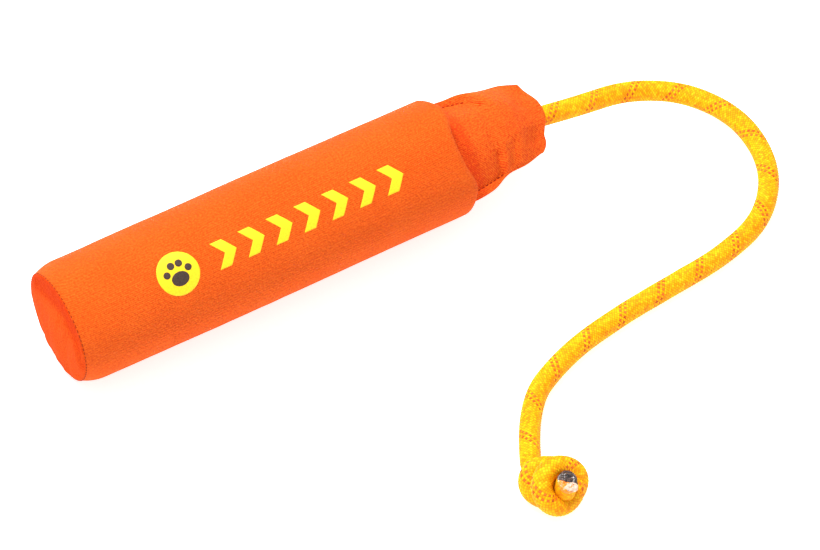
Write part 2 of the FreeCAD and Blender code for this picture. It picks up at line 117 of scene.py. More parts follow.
# ------------------------------------------------------------------ mesh building
class Build:
    """Collects closed parts; P in millimetres, prm is a 3-vector at each face corner."""

    def __init__(self):
        self.P, self.F, self.C, self.n = [], [], [], 0

    def add(self, P, F, C, flip=False):
        """F: list of int arrays (k, 3) or (k, 4), C: matching (k, 3|4, 3)."""
        vol = 0.0
        for f in F:
            p = P[f]
            for a in range(1, f.shape[1] - 1):
                vol += np.einsum("ij,ij->i", p[:, 0], np.cross(p[:, a], p[:, a + 1])).sum()
        for f, c in zip(F, C):
            if vol < 0:
                f, c = f[:, ::-1], c[:, ::-1]
            self.F.append(f + self.n)
            self.C.append(c)
        self.P.append(P)
        self.n += len(P)

    def make(self, name, material, smooth=True):
        P = np.concatenate(self.P) * 0.001
        me = bpy.data.meshes.new(name)
        loops = np.concatenate([f.reshape(-1) for f in self.F])
        totals = np.concatenate([np.full(len(f), f.shape[1]) for f in self.F])
        starts = np.concatenate([[0], np.cumsum(totals)[:-1]])
        me.vertices.add(len(P))
        me.vertices.foreach_set("co", P.astype(np.float32).reshape(-1))
        me.loops.add(len(loops))
        me.loops.foreach_set("vertex_index", loops.astype(np.int32))
        me.polygons.add(len(totals))
        me.polygons.foreach_set("loop_start", starts.astype(np.int32))
        me.polygons.foreach_set("loop_total", totals.astype(np.int32))
        me.update(calc_edges=True)
        me.validate()
        at = me.attributes.new("surf", "FLOAT_VECTOR", "CORNER")
        C = np.concatenate([c.reshape(-1, 3) for c in self.C]).astype(np.float32)
        at.data.foreach_set("vector", C.reshape(-1))
        me.polygons.foreach_set("use_smooth", np.full(len(totals), bool(smooth)))
        me.materials.append(material)
        me.update()
        ob = bpy.data.objects.new(name, me)
        scene.collection.objects.link(ob)
        return ob


def grid_faces(n, m, wrap, prm, base=0):
    """Faces of an n x m point grid; prm has m + 1 columns when wrapped."""
    cols = m if wrap else m - 1
    i, j = np.meshgrid(np.arange(n - 1), np.arange(cols), indexing="ij")
    i, j = i.reshape(-1), j.reshape(-1)
    j2 = (j + 1) % m
    F = np.stack([i * m + j, i * m + j2, (i + 1) * m + j2, (i + 1) * m + j], -1) + base
    C = np.stack([prm[i, j], prm[i, j + 1], prm[i + 1, j + 1], prm[i + 1, j]], 1)
    return F, C


def prm3(a, b, c=0.0):
    a, b, c = np.broadcast_arrays(np.asarray(a, float), np.asarray(b, float), np.asarray(c, float))
    return np.stack([a, b, c], -1)


def tube_mesh(build, P, prm, cap_in=0.0):
    """P (n, m, 3) rings, closed at both ends by fans."""
    n, m = P.shape[:2]
    F, C = grid_faces(n, m, True, prm)
    pts = [P.reshape(-1, 3)]
    Fs, Cs = [F], [C]
    base = n * m
    for ring, sign in ((0, 1), (n - 1, -1)):
        ctr = P[ring].mean(0)
        nxt = P[1 if ring == 0 else n - 2].mean(0)
        ctr = ctr + unit(ctr - nxt) * cap_in
        pts.append(ctr[None])
        j = np.arange(m)
        a, b = ring * m + j, ring * m + (j + 1) % m
        k = np.full(m, base)
        f = np.stack([k, b, a], -1) if sign > 0 else np.stack([k, a, b], -1)
        pc = prm[ring].mean(0)
        ca, cb = prm[ring, j], prm[ring, j + 1]
        cc = np.broadcast_to(pc, ca.shape)
        Fs.append(f)
        Cs.append(np.stack([cc, cb, ca] if sign > 0 else [cc, ca, cb], 1))
        base += 1
    build.add(np.concatenate(pts), Fs, Cs)


def slab(build, top, bottom, prm):
    """A thin closed piece from two (n, m, 3) grids, one above the other."""
    n, m = top.shape[:2]
    P = np.concatenate([top.reshape(-1, 3), bottom.reshape(-1, 3)])
    F1, C1 = grid_faces(n, m, False, prm)
    F2, C2 = grid_faces(n, m, False, prm, n * m)
    loop = ([(0, j) for j in range(m)] + [(i, m - 1) for i in range(1, n)]
            + [(n - 1, j) for j in range(m - 2, -1, -1)] + [(i, 0) for i in range(n - 2, 0, -1)])
    a = np.array([i * m + j for i, j in loop])
    b = np.roll(a, -1)
    pa = np.array([prm[i, j] for i, j in loop])
    pb = np.roll(pa, -1, axis=0)
    F3 = np.stack([b, a, a + n * m, b + n * m], -1)
    C3 = np.stack([pb, pa, pa, pb], 1)
    build.add(P, [F1, F2[:, ::-1], F3], [C1, C2[:, ::-1], C3])


def disc_slab(build, top, bottom, prm, ctop, cbot, cprm):
    """Closed piece from polar grids (nr, m, 3), centres given apart; prm has m + 1 columns."""
    n, m = top.shape[:2]
    P = np.concatenate([top.reshape(-1, 3), bottom.reshape(-1, 3), ctop[None], cbot[None]])
    F1, C1 = grid_faces(n, m, True, prm)
    F2, C2 = grid_faces(n, m, True, prm, n * m)
    j = np.arange(m)
    jn = (j + 1) % m
    kt, kb = np.full(m, 2 * n * m), np.full(m, 2 * n * m + 1)
    cc = np.broadcast_to(np.asarray(cprm, float), (m, 3))
    F4 = np.stack([kt, jn, j], -1)
    C4 = np.stack([cc, prm[0, j + 1], prm[0, j]], 1)
    F5 = np.stack([kb, j + n * m, jn + n * m], -1)
    C5 = np.stack([cc, prm[0, j], prm[0, j + 1]], 1)
    o = (n - 1) * m
    F3 = np.stack([o + jn + n * m, o + jn, o + j, o + j + n * m][::-1], -1)
    C3 = np.stack([prm[-1, j], prm[-1, j], prm[-1, j + 1], prm[-1, j + 1]], 1)
    F3 = np.stack([o + j, o + j + n * m, o + jn + n * m, o + jn], -1)
    build.add(P, [F1, F2[:, ::-1], F4[:, ::1], F5, F3[:, ::-1]],
              [C1, C2[:, ::-1], C4, C5, np.stack([prm[-1, j], prm[-1, j], prm[-1, j + 1], prm[-1, j + 1]], 1)[:, ::-1]])


def ride(ob, body, *nodes, slot=None):
    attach(ob, body)
    if nodes:
        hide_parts(*nodes)
    return ob


# ------------------------------------------------------------------ materials
class Tree:
    def __init__(self, name):
        self.mat = bpy.data.materials.new(name)
        self.mat.use_nodes = True
        self.t = self.mat.node_tree
        self.bsdf = self.t.nodes["Principled BSDF"]

    def put(self, sock, v):
        if isinstance(v, bpy.types.NodeSocket):
            self.t.links.new(v, sock)
        elif isinstance(v, (tuple, list)):
            sock.default_value = tuple(v) if len(v) != 3 or sock.type == "VECTOR" else tuple(v) + (1.0,)
        else:
            sock.default_value = v

    def node(self, kind, **props):
        n = self.t.nodes.new(kind)
        for k, v in props.items():
            setattr(n, k, v)
        return n

    def m(self, op, a, b=None, c=None, clamp=False):
        n = self.node("ShaderNodeMath", operation=op, use_clamp=clamp)
        for i, v in enumerate((a, b, c)):
            if v is not None:
                self.put(n.inputs[i], v)
        return n.outputs[0]

    def surf(self):
        a = self.node("ShaderNodeAttribute", attribute_name="surf", attribute_type="GEOMETRY")
        s = self.node("ShaderNodeSeparateXYZ")
        self.t.links.new(a.outputs["Vector"], s.inputs[0])
        return s.outputs[0], s.outputs[1], s.outputs[2], a.outputs["Vector"]

    def obj_mm(self):
        tc = self.node("ShaderNodeTexCoord")
        mp = self.node("ShaderNodeMapping")
        mp.inputs["Scale"].default_value = (1000, 1000, 1000)
        self.t.links.new(tc.outputs["Object"], mp.inputs["Vector"])
        return mp.outputs[0]

    def noise(self, vec, scale, detail=3.0, rough=0.5):
        n = self.node("ShaderNodeTexNoise")
        n.inputs["Scale"].default_value = scale
        n.inputs["Detail"].default_value = detail
        n.inputs["Roughness"].default_value = rough
        self.t.links.new(vec, n.inputs["Vector"])
        return n.outputs[0]

    def xyz(self, x, y, z=0.0):
        n = self.node("ShaderNodeCombineXYZ")
        for i, v in enumerate((x, y, z)):
            self.put(n.inputs[i], v)
        return n.outputs[0]

    def mix(self, f, a, b):
        n = self.node("ShaderNodeMix", data_type="RGBA")
        self.put(n.inputs[0], f)
        self.put(n.inputs[6], a)
        self.put(n.inputs[7], b)
        return n.outputs[2]

    def ramp(self, f, stops):
        n = self.node("ShaderNodeValToRGB")
        self.put(n.inputs[0], f)
        while len(n.color_ramp.elements) < len(stops):
            n.color_ramp.elements.new(0.5)
        for e, (p, c) in zip(n.color_ramp.elements, stops):
            e.position = p
            e.color = tuple(c) + (1.0,)
        return n.outputs[0]

    def remap(self, v, a, b, c, d):
        n = self.node("ShaderNodeMapRange")
        n.clamp = True
        self.put(n.inputs[0], v)
        for i, q in enumerate((a, b, c, d)):
            n.inputs[i + 1].default_value = q
        return n.outputs[0]

    def bump(self, height, strength, dist):
        n = self.node("ShaderNodeBump")
        n.inputs["Strength"].default_value = strength
        n.inputs["Distance"].default_value = dist
        self.put(n.inputs["Height"], height)
        self.t.links.new(n.outputs[0], self.bsdf.inputs["Normal"])

    def done(self, color, rough, sheen=0.0, sheen_rough=0.4, sheen_tint=(1, 1, 1), spec=0.3, coat=0.0):
        self.put(self.bsdf.inputs["Base Color"], color)
        self.put(self.bsdf.inputs["Roughness"], rough)
        self.bsdf.inputs["Specular IOR Level"].default_value = spec
        self.bsdf.inputs["Sheen Weight"].default_value = sheen
        self.bsdf.inputs["Sheen Roughness"].default_value = sheen_rough
        self.bsdf.inputs["Sheen Tint"].default_value = tuple(sheen_tint) + (1.0,)
        if coat:
            self.bsdf.inputs["Coat Weight"].default_value = coat
            self.bsdf.inputs["Coat Roughness"].default_value = 0.12
        return self.mat


def cloth_material(name, deep, base, light, turn=1.0, sheen=0.012, spec=0.10):
    """Fine coated twill: diagonal ribs of about 0.9 mm over 0.46 mm yarns."""
    t = Tree(name)
    u, v, k, vec = t.surf()
    tau = 2 * math.pi
    rib = t.m("SINE", t.m("MULTIPLY", t.m("ADD", t.m("MULTIPLY", u, turn), v), tau / 1.12))
    warp = t.m("SINE", t.m("MULTIPLY", u, tau / 0.46))
    weft = t.m("SINE", t.m("MULTIPLY", v, tau / 0.50))
    grid = t.m("MULTIPLY", warp, weft)
    mm = t.obj_mm()
    fleck = t.noise(t.xyz(t.m("MULTIPLY", u, 1.3), t.m("MULTIPLY", v, 1.3)), 0.80, 3.0, 0.65)
    cloud = t.noise(mm, 0.045, 3.0, 0.55)
    thread = t.noise(t.xyz(t.m("MULTIPLY", u, 0.06), t.m("MULTIPLY", v, 2.1)), 1.0, 1.0, 0.5)
    shade = t.m("ADD", 0.5, t.m("MULTIPLY", rib, 0.30))
    shade = t.m("ADD", shade, t.m("MULTIPLY", grid, 0.12))
    shade = t.m("ADD", shade, t.m("MULTIPLY", t.m("SUBTRACT", fleck, 0.5), 3.2))
    shade = t.m("ADD", shade, t.m("MULTIPLY", t.m("SUBTRACT", cloud, 0.5), 0.55))
    shade = t.m("ADD", shade, t.m("MULTIPLY", t.m("SUBTRACT", thread, 0.5), 0.35))
    # the third value of the surf attribute is painted shade: it darkens the cloth towards its deep colour where shade
    # falls
    shade = t.m("SUBTRACT", shade, t.m("MULTIPLY", k, 0.6), clamp=True)
    color = t.ramp(shade, [(0.0, deep), (0.5, base), (1.0, light)])
    h = t.m("ADD", t.m("MULTIPLY", rib, 0.5), t.m("MULTIPLY", grid, 0.35))
    h = t.m("ADD", h, t.m("MULTIPLY", fleck, 0.9))
    t.bump(h, 1.0, 0.00030)
    rough = t.remap(fleck, 0.2, 0.8, 0.72, 0.9)
    return t.done(color, rough, sheen, 0.35, (1.0, 0.55, 0.35), spec)


ORANGE = [(0.78, 0.078, 0.004), (0.91, 0.118, 0.0080), (0.96, 0.168, 0.016)]
m_cover = cloth_material("cover_twill", *ORANGE)
# the deep colour of cap_twill is also the colour of the painted shade band next to the closed-end seam
m_cap = cloth_material("cap_twill", (0.76, 0.046, 0.003), (0.89, 0.094, 0.008), (0.94, 0.138, 0.018), -1.0, 0.0, 0.02)
# the deep colour of hood_twill is also the colour of the painted shadow behind the roll's rim
m_hood = cloth_material("hood_twill", (0.80, 0.054, 0.005), (0.92, 0.124, 0.0100), (0.97, 0.176, 0.018), 1.0)


def thread_material(name, dark, mid):
    t = Tree(name)
    u, v, k, vec = t.surf()
    tw = t.m("SINE", t.m("MULTIPLY", t.m("ADD", t.m("MULTIPLY", u, 3.0), v), 9.0))
    n = t.noise(t.obj_mm(), 0.9, 2.0)
    f = t.m("ADD", t.m("MULTIPLY", tw, 0.22), n, clamp=True)
    t.bump(tw, 0.5, 0.00006)
    return t.done(t.ramp(f, [(0.25, dark), (0.75, mid)]), t.remap(n, 0.3, 0.7, 0.6, 0.8), 0.01, 0.4, (1, 0.6, 0.4), 0.08)


# painted shade: the thread's dark red-brown stands in for the shade of the seam hollows and stitch holes; the thread
# itself is orange like the cloth
m_thread = thread_material("seam_thread", (0.26, 0.014, 0.001), (0.50, 0.036, 0.003))
m_thread2 = thread_material("hood_thread", (0.34, 0.012, 0.004), (0.62, 0.034, 0.008))

STRANDS, PITCH = 16, 22.5


def rope_material(name):
    t = Tree(name)
    u, z, k, vec = t.surf()
    zp = t.m("DIVIDE", z, PITCH)
    a = t.m("MULTIPLY", t.m("ADD", u, zp), float(STRANDS))
    b = t.m("MULTIPLY", t.m("SUBTRACT", u, zp), float(STRANDS))
    ia, ib = t.m("FLOOR", a), t.m("FLOOR", b)
    fa, fb = t.m("SUBTRACT", t.m("FRACT", a), 0.5), t.m("SUBTRACT", t.m("FRACT", b), 0.5)
    par = t.m("FLOORED_MODULO", t.m("ADD", ia, ib), 2.0)          # 0: family a on top
    top_a = t.m("LESS_THAN", par, 0.5)
    ka = t.m("FLOORED_MODULO", ia, float(STRANDS))
    tr = t.m("MAXIMUM", t.m("COMPARE", ka, 0.0, 0.4), t.m("COMPARE", ka, 2.0, 0.4))
    tracer = t.m("MULTIPLY", tr, top_a)
    across = t.m("ADD", t.m("MULTIPLY", fa, top_a), t.m("MULTIPLY", fb, t.m("SUBTRACT", 1.0, top_a)))
    along = t.m("ADD", t.m("MULTIPLY", fb, top_a), t.m("MULTIPLY", fa, t.m("SUBTRACT", 1.0, top_a)))
    edge = t.m("MAXIMUM", t.m("MULTIPLY", t.m("ABSOLUTE", across), 2.0),
               t.m("MULTIPLY", t.m("ABSOLUTE", along), 1.9))
    gap = t.remap(edge, 0.62, 1.0, 0.0, 1.0)
    fil = t.m("SINE", t.m("MULTIPLY", across, 2 * math.pi * 4.5))
    own = t.node("ShaderNodeTexWhiteNoise", noise_dimensions="2D")
    t.put(own.inputs["Vector"], t.xyz(t.m("ADD", ia, 0.5), t.m("ADD", ib, 0.5)))
    rnd = own.outputs[0]
    mottle = t.noise(t.obj_mm(), 0.11, 3.0)
    f = t.m("ADD", 0.52, t.m("MULTIPLY", fil, 0.09))
    f = t.m("ADD", f, t.m("MULTIPLY", t.m("SUBTRACT", rnd, 0.5), 0.62))
    f = t.m("ADD", f, t.m("MULTIPLY", t.m("SUBTRACT", mottle, 0.5), 0.5))
    # painted shade: the gaps between the braid's yarns are darkened in colour, not only in the bump
    f = t.m("SUBTRACT", f, t.m("MULTIPLY", gap, 0.60), clamp=True)
    yellow = t.ramp(f, [(0.0, (0.86, 0.22, 0.001)), (0.40, (0.93, 0.41, 0.001)), (0.75, (0.97, 0.54, 0.003)), (1.0, (0.99, 0.68, 0.03))])
    orange = t.ramp(f, [(0.0, (0.45, 0.060, 0.008)), (0.6, (0.80, 0.150, 0.018)), (1.0, (0.88, 0.22, 0.04))])
    color = t.mix(tracer, yellow, orange)
    t.bump(t.m("SUBTRACT", t.m("MULTIPLY", fil, 0.35), gap), 0.45, 0.00015)
    return t.done(color, t.remap(rnd, 0.0, 1.0, 0.5, 0.68), 0.0, 0.35, (1.0, 0.9, 0.5), 0.12)


m_rope = rope_material("rope_braid")


def lump_material(name, stops, scale, rough, coat=0.0, mask=None):
    t = Tree(name)
    mm = t.obj_mm()
    n = t.noise(mm, scale, 4.0, 0.65)
    color = t.ramp(n, stops)
    if mask:
        u, v, k, vec = t.surf()
        edge = t.m("ADD", k, t.m("MULTIPLY", t.m("SUBTRACT", n, 0.5), 0.5))
        color = t.mix(t.remap(edge, 0.42, 0.58, 0.0, 1.0), color, t.ramp(n, mask))
    t.bump(n, 0.6, 0.0004)
    return t.done(color, t.remap(n, 0.3, 0.7, rough[0], rough[1]), 0.0, 0.4, (1, 1, 1), 0.5, coat)


# the pale blue stop of melted_seal is a painted reflection, a glint on the melted plastic
m_seal = lump_material("melted_seal", [(0.35, (0.010, 0.007, 0.009)), (0.52, (0.035, 0.020, 0.016)), (0.66, (0.16, 0.07, 0.05)), (0.8, (0.10, 0.16, 0.28))], 0.9,
                       (0.18, 0.5), 0.5, [(0.35, (0.75, 0.13, 0.004)), (0.6, (0.95, 0.30, 0.006))])
m_core = lump_material("core_strands", [(0.3, (0.44, 0.24, 0.13)), (0.5, (0.68, 0.48, 0.35)), (0.7, (0.82, 0.68, 0.56))], 1.1, (0.5, 0.8))


def print_material(name, low, high):
    t = Tree(name)
    u, v, k, vec = t.surf()
    rib = t.m("SINE", t.m("MULTIPLY", t.m("ADD", u, v), 2 * math.pi / 0.92))
    n = t.noise(t.xyz(u, v), 1.2, 3.0, 0.6)
    f = t.m("ADD", n, t.m("MULTIPLY", rib, 0.07), clamp=True)
    t.bump(t.m("ADD", t.m("MULTIPLY", rib, 0.4), n), 0.3, 0.0001)
    return t.done(t.ramp(f, [(0.25, low), (0.6, high)]), t.remap(n, 0.3, 0.7, 0.45, 0.65), 0.05, 0.4, (1, 1, 1), 0.3)


m_yellow = print_material("print_ink_yellow", (0.88, 0.50, 0.008), (0.97, 0.66, 0.012))
m_dark = print_material("print_ink_dark", (0.030, 0.016, 0.012), (0.060, 0.036, 0.028))


def foam_material():
    t = Tree("closed_cell_foam")
    mm = t.obj_mm()
    vo = t.node("ShaderNodeTexVoronoi")
    vo.inputs["Scale"].default_value = 1.4
    t.t.links.new(mm, vo.inputs["Vector"])
    n = t.noise(mm, 0.2, 3.0)
    f = t.m("ADD", t.m("MULTIPLY", vo.outputs[0], 0.5), t.m("MULTIPLY", n, 0.5))
    t.bump(vo.outputs[0], 0.5, 0.0003)
    return t.done(t.ramp(f, [(0.2, (0.55, 0.55, 0.53)), (0.7, (0.82, 0.82, 0.79))]), t.remap(n, 0.3, 0.7, 0.8, 0.95))


def inner_rope_material():
    t = Tree("rope_inside_hood")
    mm = t.obj_mm()
    w = t.node("ShaderNodeTexWave", wave_type="BANDS", bands_direction="DIAGONAL")
    w.inputs["Scale"].default_value = 0.28
    w.inputs["Distortion"].default_value = 2.0
    t.t.links.new(mm, w.inputs["Vector"])
    n = t.noise(mm, 0.8, 3.0)
    f = t.m("ADD", t.m("MULTIPLY", w.outputs[1], 0.5), t.m("MULTIPLY", n, 0.5))
    t.bump(f, 0.6, 0.0005)
    return t.done(t.ramp(f, [(0.25, (0.72, 0.30, 0.003)), (0.7, (0.93, 0.58, 0.012))]), t.remap(n, 0.3, 0.7, 0.5, 0.7), 0.1)


def paint(node, mat):
    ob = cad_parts[node]
    if not ob.material_slots:
        ob.data.materials.append(mat)
    for s in ob.material_slots:
        s.material = mat


paint("foam_core", foam_material())
m_inside = inner_rope_material()
paint("anchor_knot", m_inside)
paint("anchor_tail", m_inside)

# ------------------------------------------------------------------ the throw rope, first
# Control points of the rope's centre line, in metres: two inside the hood, then the free route.
ROUTE = [
    (0.1115, 0.0, 0.02814), (0.1225, -0.0002, 0.0275),
    (0.1325, -0.0006, 0.0262), (0.1500, -0.0008, 0.0226), (0.1775, 0.0008, 0.0165), (0.2035, -0.0110, 0.0120),
    (0.2185, -0.0360, 0.0095), (0.2165, -0.0665, 0.0070), (0.1975, -0.0902, 0.0051), (0.1680, -0.0999, 0.0051),
    (0.1365, -0.1030, 0.0051), (0.1052, -0.1066, 0.0051), (0.0756, -0.1132, 0.0051), (0.0450, -0.1288, 0.0051),
    (0.0305, -0.1580, 0.0051),
]


def nurbs_points(points, name, resolution=48):
    """Points of the route's NURBS spline, in millimetres."""
    cu = bpy.data.curves.new(name, "CURVE")
    cu.dimensions = "3D"
    sp = cu.splines.new("NURBS")
    sp.points.add(len(points) - 1)
    for q, c in zip(sp.points, points):
        q.co = (c[0], c[1], c[2], 1.0)
    sp.order_u = 3
    sp.use_endpoint_u = True
    sp.resolution_u = resolution
    ob = bpy.data.objects.new(name, cu)
    scene.collection.objects.link(ob)
    me = bpy.data.meshes.new_from_object(ob)
    P = np.array([v.co for v in me.vertices], float) * 1000.0
    bpy.data.objects.remove(ob)
    bpy.data.curves.remove(cu)
    bpy.data.meshes.remove(me)
    return P


def even(P, step):
    keep = np.concatenate([[True], np.linalg.norm(np.diff(P, axis=0), axis=1) > 1e-6])
    P = P[keep]
    s = np.concatenate([[0], np.cumsum(np.linalg.norm(np.diff(P, axis=0), axis=1))])
    n = int(round(s[-1] / step)) + 1
    q = np.linspace(0, s[-1], n)
    return np.stack([np.interp(q, s, P[:, k]) for k in range(3)], -1), q


def frames_along(P, first=(0, 0, 1)):
    T = unit(np.gradient(P, axis=0))
    N = np.zeros_like(P)
    n = np.array(first, float)
    for i in range(len(P)):
        n = n - T[i] * n.dot(T[i])
        n /= np.linalg.norm(n)
        N[i] = n
    return T, N, np.cross(T, N)


def braid(P, s, N, B, sides, radius=4.52, scale=None):
    """Rings of a braided sheath, yarns in relief, one over and one under."""
    th = np.arange(sides) / sides
    u, z = th[None, :], s[:, None]
    a, b = STRANDS * (u + z / PITCH), STRANDS * (u - z / PITCH)
    fa, fb = a - np.floor(a) - 0.5, b - np.floor(b) - 0.5
    sg = np.where((np.floor(a) + np.floor(b)) % 2 < 0.5, 1.0, -1.0)
    ha = 0.30 * (1 - (2 * fa) ** 2) + 0.20 * sg * np.cos(np.pi * fb)
    hb = 0.30 * (1 - (2 * fb) ** 2) - 0.20 * sg * np.cos(np.pi * fa)
    r = radius + np.maximum(ha, hb)
    r = r + 0.06 * noise(s[:, None] / 9.0, th[None, :] * 6, 5, 6)
    if scale is not None:
        r = r * scale[:, None]
    c, d = np.cos(2 * np.pi * th), np.sin(2 * np.pi * th)
    ring = P[:, None] + r[..., None] * (c[None, :, None] * N[:, None] + d[None, :, None] * B[:, None])
    prm = prm3(np.arange(sides + 1)[None, :] / sides, s[:, None])
    return ring, prm


STEP, SIDES = 0.365, 88
line = nurbs_points(ROUTE, "rope_route")
line, ls = even(line, STEP)
T, N, B = frames_along(line)
rings, prm = braid(line, ls, N, B, SIDES)
cut = int(np.searchsorted(line[:, 0] > 121.0, True))
b_ = Build()
tube_mesh(b_, rings[:cut + 2], prm[:cut + 2])
stub = ride(b_.make("rope_run_inside_hood", m_rope), BODY, "anchor_rope_stub", slot="rope_sheath")
b_ = Build()
tube_mesh(b_, rings[cut:], prm[cut:])
rope = b_.make("throw_rope_sheath", m_rope)

# ------------------------------------------------------------------ the hand knot
LOOK = np.array([0.314682, 0.540281, -0.780430])
RIGHT = unit(np.cross(LOOK, [0, 0, 1.0]))
UPV = np.cross(RIGHT, LOOK)
KC = np.array([32.0, -180.8, 13.6])


def knot_pt(r, u, c):
    return KC + r * RIGHT + u * UPV - c * LOOK


e1 = np.array([0.866, 0.0, -0.5])
ring_pts = [tuple(9.2 * k * (math.cos(math.radians(a)) * e1 + math.sin(math.radians(a)) * np.array([0, 1.0, 0])) + np.array([-0.7, 0, 0.4]))
            for a, k in ((98, 1), (132, 1), (164, 1), (196, 1), (228, 1), (260, 0.99), (292, 0.96), (326, 0.94), (358, 0.96))]
KNOT = [
    (-11.8, 4.8, -14.3), (-7.0, 1.4, -11.4), (0.0, 1.0, -11.0), (6.3, 3.2, -10.6), (4.6, 7.6, -9.4), (-2.6, 8.2, -8.9),
    (-9.4, 8.3, -8.6), (-13.9, 4.6, -7.6), (-13.7, -2.0, -6.6), (-7.6, -6.0, -4.8), (0.8, -6.4, -5.2), (7.0, -3.0, -7.2),
    (8.6, 3.6, -6.2), (4.6, 8.2, -3.2),
] + ring_pts + [
    (5.4, 4.5, -6.5), (0.6, 3.0, -6.5), (0.2, -1.8, -4.6), (1.4, -3.2, -1.2), (2.0, -2.0, 2.2), (3.0, 2.3, 9.0),
]
end = line[-1]
kp = [end] + [knot_pt(*p) for p in KNOT]
kp = [np.array([p[0], p[1], max(p[2], 5.15)]) for p in kp]
kline = nurbs_points([tuple(p * 0.001) for p in kp], "knot_line")
kline, ks = even(kline, STEP)
kT, kN, kB = frames_along(kline, N[-1])
taper = np.ones(len(kline))
taper[-8:] = np.linspace(1.0, 1.03, 8)
krings, kprm = braid(kline, ks + ls[-1], kN, kB, SIDES, scale=taper)
kcut = len(kline) - int(11.0 / STEP)
b_ = Build()
tube_mesh(b_, krings[:kcut + 2], kprm[:kcut + 2])
knot = ride(b_.make("hand_knot_turns", m_rope), ROPE, "hand_knot", slot="rope_sheath")
b_ = Build()
tube_mesh(b_, krings[kcut:], kprm[kcut:])
ktail = ride(b_.make("hand_knot_end", m_rope), ROPE, "hand_knot_tail", slot="rope_sheath")

# melted end: a lumpy seal over the cut, with the pale core strands showing low on one side
tip, tdir = kline[-1], kT[-1]
tu = unit(UPV - tdir * UPV.dot(tdir))
tr = np.cross(tdir, tu)
tr = tr if tr.dot(RIGHT) > 0 else -tr


def end_lump(rad, depth, squash, seed, rough, cx=0.0, cy=0.0, wx=1.0, wy=1.0, mask=None, lift=0.0):
    m, n = 56, 16
    psi = 2 * np.pi * np.arange(m) / m
    rho = np.linspace(1.0 / n, 1.0, n)[:, None]
    x = cx + wx * rad * rho * np.cos(psi)[None, :] * (1 + 0.06 * noise(np.cos(psi) * 2 + 4, np.sin(psi) * 2 + 4, seed)[None, :] * rho)
    y = cy + wy * rad * rho * np.sin(psi)[None, :]
    h = depth * (1 - rho ** squash) + rough * noise(x * 0.9 + 20, y * 0.9 + 20, seed) + 0.5 * rough * noise(x * 2.1 + 9, y * 2.1 + 9, seed + 1)
    h = np.maximum(h, 0.04) * (1 - sm(0.86, 1.0, rho)) + 0.02 + lift
    P = tip + x[..., None] * tr + y[..., None] * tu
    top = P + h[..., None] * tdir
    bot = P - 0.9 * tdir
    k = np.zeros_like(x) if mask is None else mask(x, y)
    pm = np.concatenate([prm3(x, y, k), prm3(x, y, k)[:, :1]], 1)
    c = tip + cx * tr + cy * tu
    b = Build()
    disc_slab(b, top, bot, pm, c + (float(h[0].mean()) + 0.05) * tdir, c - 0.9 * tdir, (cx, cy, float(k[0].mean())))
    return b


seal = ride(end_lump(4.9, 1.0, 3.0, 31, 0.55, wx=0.96, wy=1.16, mask=lambda x, y: sm(-0.4, -1.8, y + 0.45 * x)).make("hand_end_melt", m_seal),
            ROPE, "hand_end_seal", slot="melted_end")
core = ride(end_lump(3.0, 0.8, 2.4, 41, 0.35, cx=1.15, cy=-2.75, wx=1.12, wy=0.78, lift=0.50).make("hand_end_strands", m_core),
            ROPE, "hand_end_core", slot="rope_core")

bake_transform(rope, BODY, ROPE, start=(0.1265, 0, 0.0281), end=(0.172, 0, 0.019))
# the blend is measured along one line, and the rope turns back beside the roll: that stretch moves with the rope
co_ = np.empty(len(rope.data.vertices) * 3)
rope.data.vertices.foreach_get("co", co_)
w_ = np.empty(len(rope.data.vertices), np.float32)
share = rope.data.attributes["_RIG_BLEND"]
share.data.foreach_get("value", w_)
w_[co_.reshape(-1, 3)[:, 1] < -0.03] = 1.0
share.data.foreach_set("value", w_)
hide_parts("rope_sheath", "rope_core")


# ------------------------------------------------------------------ the filled roll
def rim_x(phi):
    d = np.degrees(np.abs((phi - FACE_PHI + np.pi) % (2 * np.pi) - np.pi))
    x = curve([0, 18, 34, 47, 62, 90, 135, 180], [76.2, 77.2, 79.3, 80.3, 79.3, 78.7, 79.2, 79.4], d)
    return x + 0.22 * np.sin(3 * phi + 0.7) + 0.15 * np.sin(7 * phi)


def press(P):
    """The roll's own weight presses its underside flat on the floor."""
    z = P[..., 2]
    P[..., 2] = 0.5 * (z + np.sqrt(z * z + 0.06))
    return P


def roll_radius(x, phi):
    e = x - SEAM
    deg = np.degrees((phi - math.radians(145.0) + np.pi) % (2 * np.pi) - np.pi)
    side = 1.0 - 0.40 * np.cos(2 * (phi - FACE_PHI))
    r = R - 2.1 * side * np.clip(1 - e / 10.5, 0, 1) ** 2.0
    r = r + 0.20 * np.sin(2 * phi + 0.021 * x + 0.4) * sm(0, 30, e) + 0.12 * np.sin(3 * phi - 0.034 * x)
    r = r + 0.16 * noise(x / 26.0 + 9, phi / (2 * np.pi) * 7, 11, 7) + 0.05 * noise(x / 7.0, phi / (2 * np.pi) * 24, 12, 24)
    # small gathers that run out from the closed-end seam, and a pull at the shoulder
    gath = noise(phi * 0 + 3.3, phi / (2 * np.pi) * 44, 13, 44)
    r = r + 0.30 * gath * np.exp(-e / 4.0) * sm(0.0, 0.8, e)
    gath2 = noise(phi * 0 + 7.1, phi / (2 * np.pi) * 26, 14, 26)
    r = r + 0.22 * gath2 * np.exp(-(rim_x(phi) - x) / 9.0)
    arc = np.radians(deg) * R
    r = r - 0.42 * np.exp(-(arc / 0.55) ** 2) + 0.22 * np.exp(-((arc - 1.6) / 1.1) ** 2)
    return r


def on_roll(x, phi, off=0.0):
    r = roll_radius(x, phi) + off
    P = np.stack([x + 0 * r, r * np.sin(phi), AZ + r * np.cos(phi)], -1)
    return press(P)


